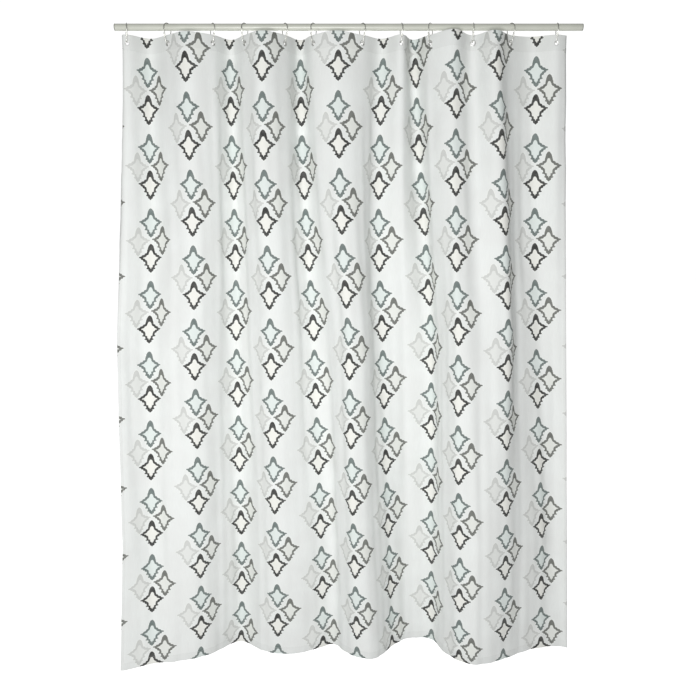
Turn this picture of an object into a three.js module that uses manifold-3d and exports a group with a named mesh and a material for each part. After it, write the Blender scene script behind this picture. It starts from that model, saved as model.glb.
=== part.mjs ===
// A printed fabric shower curtain hanging from a round rod on twelve wire rings.
//
// Millimetres. X runs along the rod, -Y is the printed front, +Z is up.
// The origin is the centre of the rod's left end face.

import * as THREE from "three";
import { mergeVertices } from "three/addons/utils/BufferGeometryUtils.js";
import Module from "manifold-3d";

const wasm = await Module();
wasm.setup();

// ---------------------------------------------------------------- driving dimensions

const FIT_GAP = 0.3;

const ROD = { length: 1380, radius: 10, wall: 1, sides: 32 };

const CAP = { flange: 2, spigot: 16 };

const CLOTH = { width: 1800, drop: 2000, thickness: 1, topEdgeZ: -21 };

// The turned-over top hem hangs straight; the folds start to change shape below it.
const HEADER = { depth: 45, tapeTop: 4, tapeBottom: 41, tapeThickness: 1 };

const EYELETS = { count: 12, fromSide: 34, fromTop: 24, sides: 12 };

const EYELET = { bore: 4.8, barrel: 5.4, flange: 8.5, lip: 6.8, dome: 1.3, edge: 0.4 };

const WASHER = { inner: 5.8, outer: 8.5, thickness: 0.8 };

const CLOTH_HOLE = { radius: 5.8, punch: 12 };

const RING = { wire: 1.15, topBend: 15.5, bottomBend: 9, aboveEyelet: 1.5, sides: 6, steps: 30 };
const BEND_STEPS = { bottom: 6, top: 10 };

// The two ends of a ring's wire lie side by side over this share of its straight front.
const LAP = { from: 0.35, to: 0.65, apart: 2.7 };

// A ring turns with its eyelet, up to the angle where the rod stops it.
const MOST_YAW = 0.55;

// Where each ring hangs, measured along the rod from its left end.
const RING_PLACES = [35, 155, 288, 383, 501, 586, 730, 845, 931, 1057, 1168, 1304];

// Between two rings the cloth swells towards the front (1) or the back (-1). The middle of its
// cloth there hangs at x, and the stiff header stands a little higher than it does at the rings.
const SWELLS = [
  { x: 88, side: -1, rise: 0 },
  { x: 200, side: 1, rise: 1 },
  { x: 326, side: -1, rise: 0 },
  { x: 436, side: 1, rise: 1 },
  { x: 551, side: -1, rise: 0 },
  { x: 649, side: 1, rise: 6 },
  { x: 776, side: -1, rise: 0 },
  { x: 890, side: -1, rise: 0 },
  { x: 997, side: 1, rise: 7 },
  { x: 1122, side: 1, rise: 2 },
  { x: 1246, side: -1, rise: 3 },
];

// Each line of the cloth below is seen from above. A point of it says which place on the flat
// cloth, measured from its left side, comes where along the rod, and how far forward.

// Outside the first ring the left side curls to the back, and the right side hangs straight.
const TOP_LEFT = [
  { flat: 0, x: 22, forward: -16 },
  { flat: 14, x: 13, forward: -5 },
];
const TOP_RIGHT = { flat: 1800, x: 1336, forward: -8 };

const MIDDLE_DEPTH = 900;
const MIDDLE_LINE = [
  { flat: 0, x: -28, forward: 44 },
  { flat: 100, x: 54, forward: -4 },
  { flat: 180, x: 122, forward: 18 },
  { flat: 260, x: 196, forward: 36 },
  { flat: 340, x: 262, forward: -14 },
  { flat: 381, x: 284, forward: -49 },
  { flat: 421, x: 317, forward: -68 },
  { flat: 461, x: 352, forward: -52 },
  { flat: 501, x: 380, forward: -20 },
  { flat: 581, x: 445, forward: 28 },
  { flat: 661, x: 513, forward: 4 },
  { flat: 702, x: 538, forward: -30 },
  { flat: 742, x: 573, forward: -48 },
  { flat: 780, x: 604, forward: -34 },
  { flat: 842, x: 647, forward: 16 },
  { flat: 902, x: 692, forward: 62 },
  { flat: 942, x: 728, forward: 52 },
  { flat: 997, x: 769, forward: 4 },
  { flat: 1030, x: 782, forward: -30 },
  { flat: 1063, x: 808, forward: -48 },
  { flat: 1143, x: 889, forward: -58 },
  { flat: 1223, x: 967, forward: -64 },
  { flat: 1282, x: 990, forward: -14 },
  { flat: 1384, x: 1048, forward: 84 },
  { flat: 1460, x: 1126, forward: 68 },
  { flat: 1545, x: 1214, forward: 58 },
  { flat: 1625, x: 1252, forward: 2 },
  { flat: 1705, x: 1311, forward: -32 },
  { flat: 1753, x: 1346, forward: -32 },
  { flat: 1800, x: 1384, forward: -22 },
];

const LOW_DEPTH = 1600;
const LOW_LINE = [
  { flat: 0, x: -34, forward: 88 },
  { flat: 100, x: 44, forward: 26 },
  { flat: 180, x: 123, forward: 37 },
  { flat: 260, x: 201, forward: 30 },
  { flat: 340, x: 262, forward: -25 },
  { flat: 421, x: 322, forward: -76 },
  { flat: 501, x: 385, forward: -30 },
  { flat: 581, x: 450, forward: 20 },
  { flat: 661, x: 525, forward: 2 },
  { flat: 742, x: 594, forward: -38 },
  { flat: 780, x: 630, forward: -50 },
  { flat: 842, x: 668, forward: 5 },
  { flat: 902, x: 710, forward: 56 },
  { flat: 942, x: 750, forward: 52 },
  { flat: 997, x: 790, forward: 12 },
  { flat: 1063, x: 831, forward: -42 },
  { flat: 1143, x: 898, forward: -82 },
  { flat: 1223, x: 974, forward: -68 },
  { flat: 1282, x: 1000, forward: -15 },
  { flat: 1384, x: 1054, forward: 76 },
  { flat: 1460, x: 1125, forward: 82 },
  { flat: 1545, x: 1217, forward: 48 },
  { flat: 1625, x: 1275, forward: 8 },
  { flat: 1705, x: 1347, forward: -30 },
  { flat: 1753, x: 1387, forward: -50 },
  { flat: 1800, x: 1426, forward: -34 },
];

const HEM_LINE = [
  { flat: 0, x: -57, forward: 104 },
  { flat: 100, x: 28, forward: 66 },
  { flat: 180, x: 106, forward: 46 },
  { flat: 260, x: 187, forward: 22 },
  { flat: 340, x: 249, forward: -28 },
  { flat: 421, x: 311, forward: -80 },
  { flat: 501, x: 378, forward: -34 },
  { flat: 581, x: 447, forward: 1 },
  { flat: 661, x: 526, forward: -6 },
  { flat: 742, x: 594, forward: -38 },
  { flat: 780, x: 630, forward: -54 },
  { flat: 842, x: 670, forward: -8 },
  { flat: 902, x: 714, forward: 38 },
  { flat: 950, x: 762, forward: 42 },
  { flat: 997, x: 800, forward: 12 },
  { flat: 1063, x: 838, forward: -42 },
  { flat: 1120, x: 882, forward: -80 },
  { flat: 1170, x: 930, forward: -92 },
  { flat: 1223, x: 977, forward: -81 },
  { flat: 1290, x: 1006, forward: -18 },
  { flat: 1384, x: 1050, forward: 60 },
  { flat: 1464, x: 1128, forward: 72 },
  { flat: 1545, x: 1207, forward: 40 },
  { flat: 1625, x: 1281, forward: -4 },
  { flat: 1705, x: 1357, forward: -34 },
  { flat: 1765, x: 1414, forward: -42 },
  { flat: 1800, x: 1447, forward: -34 },
];

// ---------------------------------------------------------------- colours

const PAINT = {
  cloth: { color: "#dfe2df", roughness: 0.75, metalness: 0 },
  tape: { color: "#e8e8e4", roughness: 0.9, metalness: 0 },
  rod: { color: "#d6d8ce", roughness: 0.35, metalness: 0.1 },
  cap: { color: "#8f918c", roughness: 0.5, metalness: 0 },
  wire: { color: "#b9bab6", roughness: 0.25, metalness: 1 },
  eyelet: { color: "#b4b6b3", roughness: 0.35, metalness: 1 },
};

// ---------------------------------------------------------------- solids

function solidOf(geometry) {
  const plain = geometry.clone();
  plain.deleteAttribute("normal");
  plain.deleteAttribute("uv");
  const merged = mergeVertices(plain, 1e-3);
  const mesh = new wasm.Mesh({
    numProp: 3,
    vertProperties: merged.attributes.position.array,
    triVerts: new Uint32Array(merged.index.array),
  });
  return new wasm.Manifold(mesh);
}

function geometryOf(solid) {
  const mesh = solid.getMesh();
  const geometry = new THREE.BufferGeometry();
  geometry.setAttribute("position", new THREE.BufferAttribute(mesh.vertProperties, 3));
  geometry.setIndex(new THREE.BufferAttribute(mesh.triVerts, 1));
  geometry.computeVertexNormals();
  return geometry;
}

function turned(profile, sides) {
  const points = profile.map(([radius, along]) => new THREE.Vector2(radius, along));
  return new THREE.LatheGeometry(points, sides);
}

function makeMesh(name, geometry, paint) {
  const mesh = new THREE.Mesh(geometry, new THREE.MeshStandardMaterial(PAINT[paint]));
  mesh.name = name;
  return mesh;
}

// ---------------------------------------------------------------- how the cloth hangs

const STEP = 5;
const STEPS = CLOTH.width / STEP;
const LINE_SAMPLES = 4000;
const ROUNDING = 2;

// How the depth of the swells and the fit of a row are worked out, round by round.
const SWELL_FIT = { firstDepth: 40, rounds: 60, share: 1 / 3 };
const ROW_FIT = { rounds: 25 };

const PITCH = (CLOTH.width - 2 * EYELETS.fromSide) / (EYELETS.count - 1);

// An eyelet sits in the middle of one flat facet of the cloth.
const FACETS_PER_SWELL = 6;
const FACET = PITCH / FACETS_PER_SWELL;

const mix = (a, b, share) => a + (b - a) * share;

// Follows a smooth line through points that each say which place on the flat cloth comes there.
// The answer is the heading of each short step along the cloth, and the true length of each
// stretch of the line.
function layAlong(points) {
  const nodes = points.map(({ x, forward }) => new THREE.Vector3(x, forward, 0));
  const curve = new THREE.CatmullRomCurve3(nodes, false, "centripetal");
  const line = curve.getPoints(LINE_SAMPLES);
  const reach = [0];
  for (let i = 1; i <= LINE_SAMPLES; i++) {
    reach.push(reach[i - 1] + line[i].distanceTo(line[i - 1]));
  }
  const ends = points.map((_, n) => reach[Math.round((n / (points.length - 1)) * LINE_SAMPLES)]);
  const at = [];
  let stretch = 0;
  let i = 1;
  for (let k = 0; k <= STEPS; k++) {
    while (stretch < points.length - 2 && k * STEP > points[stretch + 1].flat) {
      stretch += 1;
    }
    const span = points[stretch + 1].flat - points[stretch].flat;
    const share = (k * STEP - points[stretch].flat) / span;
    const goal = Math.min(mix(ends[stretch], ends[stretch + 1], share), reach[LINE_SAMPLES]);
    while (reach[i] < goal) {
      i += 1;
    }
    const part = (goal - reach[i - 1]) / (reach[i] - reach[i - 1]);
    at.push(line[i - 1].clone().lerp(line[i], part));
  }
  const headings = [];
  for (let k = 0; k < STEPS; k++) {
    headings.push(Math.atan2(at[k + 1].y - at[k].y, at[k + 1].x - at[k].x));
  }
  const lengths = points.slice(1).map((_, n) => ends[n + 1] - ends[n]);
  return { headings, lengths };
}

// The cloth is too stiff for a sharp crease, so each heading is shared with its neighbours'.
function softened(headings) {
  return headings.map((heading, k) => {
    const near = headings.slice(Math.max(0, k - ROUNDING), k + ROUNDING + 1);
    return near.reduce((sum, value) => sum + value, 0) / near.length;
  });
}

// Lays the steps end to end from a start point.
function walk(headings, start, gain, turn) {
  const line = [{ x: start.x, forward: start.forward }];
  for (const heading of headings) {
    const angle = heading * gain + turn;
    const last = line[line.length - 1];
    line.push({
      x: last.x + STEP * Math.cos(angle),
      forward: last.forward + STEP * Math.sin(angle),
    });
  }
  return line;
}

// The same cloth laid from a start point to an end point: the folds open or close until it fits.
function fitBetween(headings, start, end) {
  let gain = 1;
  let turn = 0;
  let line = walk(headings, start, gain, turn);
  for (let round = 0; round < ROW_FIT.rounds; round++) {
    const last = line[STEPS];
    const bend = headings.reduce((sum, h) => sum + STEP * h * Math.sin(h * gain + turn), 0);
    gain += (last.x - end.x) / bend;
    turn -= (last.forward - end.forward) / (end.x - start.x);
    line = walk(headings, start, gain, turn);
  }
  return line;
}

function pointOn(line, flat) {
  const k = Math.min(STEPS - 1, Math.floor(flat / STEP));
  const share = flat / STEP - k;
  return {
    x: mix(line[k].x, line[k + 1].x, share),
    forward: mix(line[k].forward, line[k + 1].forward, share),
  };
}

// Where the eyelets come along a line of the cloth, and which way they face.
function eyeletsOn(line) {
  const places = [];
  for (let i = 0; i < EYELETS.count; i++) {
    const flat = EYELETS.fromSide + i * PITCH;
    const left = pointOn(line, flat - FACET / 2);
    const right = pointOn(line, flat + FACET / 2);
    places.push({
      x: (left.x + right.x) / 2,
      forward: (left.forward + right.forward) / 2,
      yaw: Math.atan2(right.forward - left.forward, right.x - left.x),
    });
  }
  return places;
}

// Each stretch between two rings holds the same length of cloth, so the closer the rings are,
// the deeper the swell. The swells and the points aimed at are set right again and again until
// the line passes under every ring.
function layTop() {
  const depths = SWELLS.map(() => SWELL_FIT.firstDepth);
  const aims = RING_PLACES.map((x) => ({ x, forward: 0 }));
  const firstSwell = TOP_LEFT.length;
  let headings = [];
  for (let round = 0; round < SWELL_FIT.rounds; round++) {
    const points = [...TOP_LEFT];
    aims.forEach(({ x, forward }, i) => {
      const flat = EYELETS.fromSide + i * PITCH;
      points.push({ flat, x, forward });
      if (i < SWELLS.length) {
        const swell = SWELLS[i].side * depths[i];
        points.push({ flat: flat + PITCH / 2, x: SWELLS[i].x, forward: swell });
      }
    });
    points.push(TOP_RIGHT);
    const laid = layAlong(points);
    headings = softened(laid.headings);
    const eyelets = eyeletsOn(fitBetween(headings, TOP_LEFT[0], TOP_RIGHT));
    depths.forEach((depth, i) => {
      const half = firstSwell + 2 * i;
      const length = laid.lengths[half] + laid.lengths[half + 1];
      depths[i] = depth + (PITCH - length) * SWELL_FIT.share;
    });
    aims.forEach((aim, i) => {
      aim.x += (RING_PLACES[i] - eyelets[i].x) * SWELL_FIT.share;
      aim.forward -= eyelets[i].forward * SWELL_FIT.share;
    });
  }
  return headings;
}

// The four lines that set the shape of the whole cloth, at their depths below its top edge.
const LINES = [
  { depth: HEADER.depth, headings: layTop(), start: TOP_LEFT[0], end: TOP_RIGHT },
  guide(MIDDLE_DEPTH, MIDDLE_LINE),
  guide(LOW_DEPTH, LOW_LINE),
  guide(CLOTH.drop, HEM_LINE),
];

function guide(depth, points) {
  const { headings } = layAlong(points);
  return { depth, headings, start: points[0], end: points[points.length - 1] };
}

// The line of the cloth at a depth below its top edge.
function lineAt(depth) {
  const first = LINES.slice(1, -1).filter((line) => depth >= line.depth).length;
  const [above, below] = LINES.slice(first, first + 2);
  const share = Math.max(0, (depth - above.depth) / (below.depth - above.depth));
  const headings = above.headings.map((heading, k) => mix(heading, below.headings[k], share));
  const between = (a, b) => ({ x: mix(a.x, b.x, share), forward: mix(a.forward, b.forward, share) });
  return fitBetween(headings, between(above.start, below.start), between(above.end, below.end));
}

// How far the top edge stands above its height at the rings.
function edgeRise(flat) {
  const gap = Math.floor((flat - EYELETS.fromSide) / PITCH);
  if (gap < 0 || gap >= SWELLS.length) {
    return 0;
  }
  const share = (flat - EYELETS.fromSide) / PITCH - gap;
  return SWELLS[gap].rise * Math.sin(Math.PI * share) ** 2;
}

function columnEdges() {
  const edges = [0];
  const facets = FACETS_PER_SWELL * SWELLS.length + 1;
  for (let k = 0; k <= facets; k++) {
    edges.push(EYELETS.fromSide + (k - 0.5) * FACET);
  }
  edges.push(CLOTH.width);
  return edges;
}

const COLUMNS = columnEdges();

// One row of the cloth: for each column edge, its place and its mitred direction to the front.
function rowAt(depth) {
  const line = lineAt(depth);
  const places = COLUMNS.map((flat) => pointOn(line, flat));
  const facing = [];
  for (let k = 0; k < places.length - 1; k++) {
    const along = places[k + 1].x - places[k].x;
    const out = places[k + 1].forward - places[k].forward;
    const length = Math.hypot(along, out);
    facing.push({ x: -out / length, y: -along / length });
  }
  return places.map((place, k) => {
    const before = facing[Math.max(0, k - 1)];
    const after = facing[Math.min(facing.length - 1, k)];
    const sum = { x: before.x + after.x, y: before.y + after.y };
    const mitre = 2 / (sum.x ** 2 + sum.y ** 2);
    return { x: place.x, y: -place.forward, frontX: sum.x * mitre, frontY: sum.y * mitre };
  });
}

// Rows from one depth to another, with the height that each column has lost on the way down.
function rowsAt(depths) {
  const rows = [];
  let above = rowAt(depths[0]).map((place, k) => ({
    ...place,
    z: CLOTH.topEdgeZ + edgeRise(COLUMNS[k]) - depths[0],
  }));
  rows.push(above);
  for (let r = 1; r < depths.length; r++) {
    const drop = depths[r] - depths[r - 1];
    const last = above;
    above = rowAt(depths[r]).map((place, k) => {
      const aside = Math.hypot(place.x - last[k].x, place.y - last[k].y);
      return { ...place, z: last[k].z - Math.sqrt(drop ** 2 - aside ** 2) };
    });
    rows.push(above);
  }
  return rows;
}

// A closed sheet over the given depths, between two distances in front of the cloth's middle.
function sheetGeometry(depths, back, front) {
  const rows = rowsAt(depths);
  const across = COLUMNS.length;
  const positions = [];
  for (const offset of [back, front]) {
    for (const row of rows) {
      for (const place of row) {
        positions.push(place.x + place.frontX * offset, place.y + place.frontY * offset, place.z);
      }
    }
  }
  const layer = rows.length * across;
  const index = [];
  const quad = (a, b, c, d) => index.push(a, b, c, a, c, d);
  for (let r = 0; r < rows.length - 1; r++) {
    for (let k = 0; k < across - 1; k++) {
      const a = r * across + k;
      const below = a + across;
      quad(a, a + 1, below + 1, below);
      quad(layer + a, layer + below, layer + below + 1, layer + a + 1);
    }
    const left = r * across;
    const right = left + across - 1;
    quad(left, left + across, layer + left + across, layer + left);
    quad(right, layer + right, layer + right + across, right + across);
  }
  const bottom = (rows.length - 1) * across;
  for (let k = 0; k < across - 1; k++) {
    quad(k, layer + k, layer + k + 1, k + 1);
    quad(bottom + k, bottom + k + 1, layer + bottom + k + 1, layer + bottom + k);
  }
  const geometry = new THREE.BufferGeometry();
  geometry.setAttribute("position", new THREE.Float32BufferAttribute(positions, 3));
  geometry.setIndex(index);
  return geometry;
}

// ---------------------------------------------------------------- where the eyelets are

const EYELET_Z = CLOTH.topEdgeZ - EYELETS.fromTop;
const EYELET_PLACES = eyeletsOn(lineAt(0));

// A group whose +Y is the way from the cloth's back to its front at an eyelet.
function atEyelet(place, mesh) {
  const group = new THREE.Group();
  group.position.set(place.x, -place.forward, EYELET_Z);
  group.rotation.z = Math.PI - place.yaw;
  group.add(mesh);
  return group;
}

// ---------------------------------------------------------------- cloth pieces

function holePunch(place) {
  const { radius } = CLOTH_HOLE;
  const punch = new THREE.CylinderGeometry(radius, radius, CLOTH_HOLE.punch, EYELETS.sides);
  const mesh = new THREE.Mesh(punch);
  const group = atEyelet(place, mesh);
  group.updateMatrixWorld(true);
  return solidOf(punch.applyMatrix4(mesh.matrixWorld));
}

function withEyeletHoles(geometry) {
  const cut = EYELET_PLACES.reduce(
    (sheet, place) => sheet.subtract(holePunch(place)),
    solidOf(geometry),
  );
  return geometryOf(cut);
}

function curtainPanel() {
  const half = CLOTH.thickness / 2;
  const rows = 8;
  const depths = [0, HEADER.depth];
  for (let r = 1; r <= rows; r++) {
    depths.push(mix(HEADER.depth, CLOTH.drop, r / rows));
  }
  return makeMesh("curtain_panel", withEyeletHoles(sheetGeometry(depths, -half, half)), "cloth");
}

function headerTape() {
  const front = -CLOTH.thickness / 2 - FIT_GAP;
  const depths = [HEADER.tapeTop, HEADER.tapeBottom];
  const sheet = sheetGeometry(depths, front - HEADER.tapeThickness, front);
  return makeMesh("header_tape", withEyeletHoles(sheet), "tape");
}

// ---------------------------------------------------------------- eyelets and washers

const WASHER_FRONT = -CLOTH.thickness / 2 - 2 * FIT_GAP - HEADER.tapeThickness;
const WASHER_BACK = WASHER_FRONT - WASHER.thickness;

// The eyelet's flange lies on the front, and its barrel is spread over the washer behind.
function eyelet(name) {
  const flangeBack = CLOTH.thickness / 2 + FIT_GAP;
  const lipFront = WASHER_BACK - FIT_GAP;
  const lipBack = lipFront - WASHER.thickness;
  const profile = [
    [EYELET.bore, lipBack + EYELET.edge],
    [EYELET.lip - EYELET.edge, lipBack],
    [EYELET.lip, lipFront],
    [EYELET.barrel, lipFront],
    [EYELET.barrel, flangeBack],
    [EYELET.flange, flangeBack],
    [EYELET.flange, flangeBack + EYELET.edge],
    [(EYELET.bore + EYELET.flange) / 2, flangeBack + EYELET.dome],
    [EYELET.bore, flangeBack + EYELET.edge],
    [EYELET.bore, lipBack + EYELET.edge],
  ];
  return makeMesh(name, turned(profile, EYELETS.sides), "eyelet");
}

function washer(name) {
  const profile = [
    [WASHER.inner, WASHER_BACK],
    [WASHER.outer, WASHER_BACK],
    [WASHER.outer, WASHER_FRONT],
    [WASHER.inner, WASHER_FRONT],
    [WASHER.inner, WASHER_BACK],
  ];
  return makeMesh(name, turned(profile, EYELETS.sides), "eyelet");
}

// ---------------------------------------------------------------- rings

// The ring's middle line: a pear shape, wide over the rod and narrow in the eyelet. It is one
// turn of springy wire. Its straight sides lean out from the bottom bend to the top bend.
function ringPath() {
  const upper = ROD.radius + FIT_GAP + RING.wire - RING.topBend;
  const lower = EYELET_Z + RING.aboveEyelet + RING.bottomBend;
  const lean = Math.asin((RING.topBend - RING.bottomBend) / (upper - lower));
  const sideHeight = (upper - lower) * Math.cos(lean) ** 2;
  const sideFoot = lower - RING.bottomBend * Math.sin(lean);
  const outline = [];
  const straight = (side, share) => {
    const out = mix(RING.bottomBend, RING.topBend, share) * Math.cos(lean);
    outline.push([side * out, sideFoot + sideHeight * share]);
  };
  const bend = (centre, radius, from, turn, steps) => {
    for (let k = 0; k <= steps; k++) {
      const angle = from + (turn * k) / steps;
      outline.push([radius * Math.cos(angle), centre + radius * Math.sin(angle)]);
    }
  };
  straight(1, LAP.to);
  straight(1, LAP.from);
  bend(lower, RING.bottomBend, -lean, 2 * lean - Math.PI, BEND_STEPS.bottom);
  straight(-1, 0.5);
  bend(upper, RING.topBend, Math.PI + lean, -2 * lean - Math.PI, BEND_STEPS.top);
  straight(1, LAP.to);
  straight(1, LAP.from);
  const last = outline.length - 1;
  const points = outline.map(([out, z], k) => {
    const across = LAP.apart * (k / last - 0.5);
    return new THREE.Vector3(across, -out, z);
  });
  return new THREE.CatmullRomCurve3(points, false, "centripetal");
}

function ring(name, place) {
  const section = new THREE.Shape();
  for (let k = 0; k < RING.sides; k++) {
    const angle = (2 * Math.PI * k) / RING.sides;
    const x = RING.wire * Math.cos(angle);
    const y = RING.wire * Math.sin(angle);
    if (k === 0) {
      section.moveTo(x, y);
    } else {
      section.lineTo(x, y);
    }
  }
  const geometry = new THREE.ExtrudeGeometry(section, { extrudePath: ringPath(), steps: RING.steps });
  const mesh = makeMesh(name, geometry, "wire");
  mesh.rotation.z = -Math.max(-MOST_YAW, Math.min(MOST_YAW, place.yaw));
  // The ring swings about the rod to where its eyelet is.
  const swing = new THREE.Group();
  swing.rotation.x = -Math.atan2(place.forward, -EYELET_Z);
  swing.position.x = place.x;
  swing.add(mesh);
  return swing;
}

// ---------------------------------------------------------------- rod

function rodTube() {
  const end = CAP.flange + FIT_GAP;
  const inner = ROD.radius - ROD.wall;
  const profile = [
    [inner, end],
    [ROD.radius, end],
    [ROD.radius, ROD.length - end],
    [inner, ROD.length - end],
    [inner, end],
  ];
  return makeMesh("rod_tube", turned(profile, ROD.sides), "rod");
}

function endCap(name) {
  const plug = ROD.radius - ROD.wall - FIT_GAP;
  const profile = [
    [0, 0],
    [ROD.radius, 0],
    [ROD.radius, CAP.flange],
    [plug, CAP.flange],
    [plug, CAP.flange + CAP.spigot],
    [0, CAP.flange + CAP.spigot],
  ];
  return makeMesh(name, turned(profile, ROD.sides), "cap");
}

// Lathed pieces stand along +Y, so this lays them along the rod.
function alongRod(mesh, x, turn) {
  mesh.position.x = x;
  mesh.rotation.z = turn;
  return mesh;
}

// ---------------------------------------------------------------- assembly

const shower_curtain = new THREE.Group();

shower_curtain.add(alongRod(rodTube(), 0, -Math.PI / 2));
shower_curtain.add(alongRod(endCap("left_end_cap"), 0, -Math.PI / 2));
shower_curtain.add(alongRod(endCap("right_end_cap"), ROD.length, Math.PI / 2));
shower_curtain.add(curtainPanel());
shower_curtain.add(headerTape());

EYELET_PLACES.forEach((place, i) => {
  const number = String(i + 1).padStart(2, "0");
  shower_curtain.add(atEyelet(place, eyelet("eyelet_" + number)));
  shower_curtain.add(atEyelet(place, washer("washer_" + number)));
  shower_curtain.add(ring("ring_" + number, place));
});

export default shower_curtain;
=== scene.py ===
"""The looks of a printed shower curtain that hangs from a round rod on twelve wire rings."""

import math

import bpy
import numpy as np
from mathutils import Matrix, Vector


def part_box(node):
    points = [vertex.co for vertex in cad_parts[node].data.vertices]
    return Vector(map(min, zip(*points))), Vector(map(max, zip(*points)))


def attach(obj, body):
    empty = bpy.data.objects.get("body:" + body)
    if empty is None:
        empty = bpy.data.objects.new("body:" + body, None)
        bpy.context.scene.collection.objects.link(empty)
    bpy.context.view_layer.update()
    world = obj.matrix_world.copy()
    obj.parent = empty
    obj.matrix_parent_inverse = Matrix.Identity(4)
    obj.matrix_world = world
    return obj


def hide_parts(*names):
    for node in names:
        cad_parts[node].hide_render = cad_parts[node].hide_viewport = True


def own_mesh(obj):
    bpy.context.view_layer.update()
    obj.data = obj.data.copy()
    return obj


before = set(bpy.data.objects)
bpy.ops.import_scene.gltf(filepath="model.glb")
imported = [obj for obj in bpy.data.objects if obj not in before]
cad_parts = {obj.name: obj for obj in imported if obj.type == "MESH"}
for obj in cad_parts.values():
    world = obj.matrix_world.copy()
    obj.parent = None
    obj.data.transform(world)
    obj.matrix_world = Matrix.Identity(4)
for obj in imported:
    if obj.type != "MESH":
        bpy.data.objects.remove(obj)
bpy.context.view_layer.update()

MM = 0.001

# ---------------------------------------------------------------- sizes

ROD_LOW, ROD_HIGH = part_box("rod_tube")
ROD_RADIUS = (ROD_HIGH.z - ROD_LOW.z) / 2
ROD_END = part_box("right_end_cap")[1].x
CAP_FLANGE = 2 * MM
FIT_GAP = 0.3 * MM

CLOTH_WIDTH = 1.8
CLOTH_DROP = 2.0
TOP_EDGE_Z = -21 * MM

CLOTH_THICKNESS = 0.4 * MM
HEADER_DEPTH = 45 * MM
TAPE_TOP = 4 * MM
TAPE_BOTTOM = 41 * MM
TAPE_FRONT = -0.5 * MM
TAPE_THICKNESS = 1.0 * MM
HEADER_FLAP = -1.9 * MM
HEM_FLAP = -0.7 * MM
BOTTOM_HEM = 25 * MM
SIDE_HEM = 10 * MM

EYELET_COUNT = 12
EYELET_FROM_SIDE = 34 * MM
EYELET_FROM_TOP = 24 * MM
EYELET_BORE = 4.8 * MM
EYELET_BARREL = 5.4 * MM
EYELET_FLANGE = 8.5 * MM
EYELET_LIP = 6.8 * MM
WASHER_INNER = 5.8 * MM
WASHER_OUTER = 8.5 * MM
WASHER_FRONT = -2.1 * MM
WASHER_THICKNESS = 0.8 * MM
CLOTH_HOLE = 6.4 * MM

WIRE = 1.15 * MM
TOP_BEND = 15.5 * MM
BOTTOM_BEND = 9 * MM
RING_ABOVE_EYELET = 1.5 * MM
LAP_FROM = 0.35
LAP_TO = 0.65
LAP_APART = 2.7 * MM
MOST_YAW = 0.55

# Where each ring hangs along the rod, in millimetres from the rod's left end.
RING_PLACES = [35, 155, 288, 383, 501, 586, 730, 845, 931, 1057, 1168, 1304]

# Between two rings: where the middle of the cloth is aimed along the rod, which way it swells,
# and how much higher its edge stands there.
SWELLS = [
    (88, -1, 0), (200, 1, 1), (326, -1, 0), (436, 1, 1), (551, -1, 0), (649, 1, 6),
    (776, -1, 0), (890, -1, 0), (997, 1, 7), (1122, 1, 2), (1246, -1, 3),
]

# Each line of the cloth is seen from above, in millimetres. A point of it says which place on
# the flat cloth comes where along the rod, and how far forward.
TOP_LEFT = [(0, 22, -16), (14, 13, -5)]
TOP_RIGHT = (1800, 1336, -8)

MIDDLE_DEPTH = 0.9
MIDDLE_LINE = [
    (0, -28, 44), (100, 54, -4), (180, 122, 18), (260, 196, 36), (340, 262, -14),
    (381, 284, -49), (421, 317, -68), (461, 352, -52), (501, 380, -20), (581, 445, 28),
    (661, 513, 4), (702, 538, -30), (742, 573, -48), (780, 604, -34), (842, 647, 16),
    (902, 692, 62), (942, 728, 52), (997, 769, 4), (1030, 782, -30), (1063, 808, -48),
    (1143, 889, -58), (1223, 967, -64), (1282, 990, -14), (1384, 1048, 84), (1460, 1126, 68),
    (1545, 1214, 58), (1625, 1252, 2), (1705, 1311, -32), (1753, 1346, -32), (1800, 1384, -22),
]
LOW_DEPTH = 1.6
LOW_LINE = [
    (0, -34, 88), (100, 44, 26), (180, 123, 37), (260, 201, 30), (340, 262, -25),
    (421, 322, -76), (501, 385, -30), (581, 450, 20), (661, 525, 2), (742, 594, -38),
    (780, 630, -50), (842, 668, 5), (902, 710, 56), (942, 750, 52), (997, 790, 12),
    (1063, 831, -42), (1143, 898, -82), (1223, 974, -68), (1282, 1000, -15), (1384, 1054, 76),
    (1460, 1125, 82), (1545, 1217, 48), (1625, 1275, 8), (1705, 1347, -30), (1753, 1387, -50),
    (1800, 1426, -34),
]
HEM_LINE = [
    (0, -57, 104), (100, 28, 66), (180, 106, 46), (260, 187, 22), (340, 249, -28),
    (421, 311, -80), (501, 378, -34), (581, 447, 1), (661, 526, -6), (742, 594, -38),
    (780, 630, -54), (842, 670, -8), (902, 714, 38), (950, 762, 42), (997, 800, 12),
    (1063, 838, -42), (1120, 882, -80), (1170, 930, -92), (1223, 977, -81), (1290, 1006, -18),
    (1384, 1050, 60), (1464, 1128, 72), (1545, 1207, 40), (1625, 1281, -4), (1705, 1357, -34),
    (1765, 1414, -42), (1800, 1447, -34),
]

# ---------------------------------------------------------------- how the cloth hangs

STEP = 5 * MM
STEPS = round(CLOTH_WIDTH / STEP)
LINE_SAMPLES = 4000
ROUNDING = 2
FIRST_SWELL = 40.0
FIT_ROUNDS = 60
FIT_SHARE = 1 / 3
PITCH = (CLOTH_WIDTH - 2 * EYELET_FROM_SIDE) / (EYELET_COUNT - 1)
FACET = PITCH / 6


def mix(a, b, share):
    return a + (b - a) * share


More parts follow.
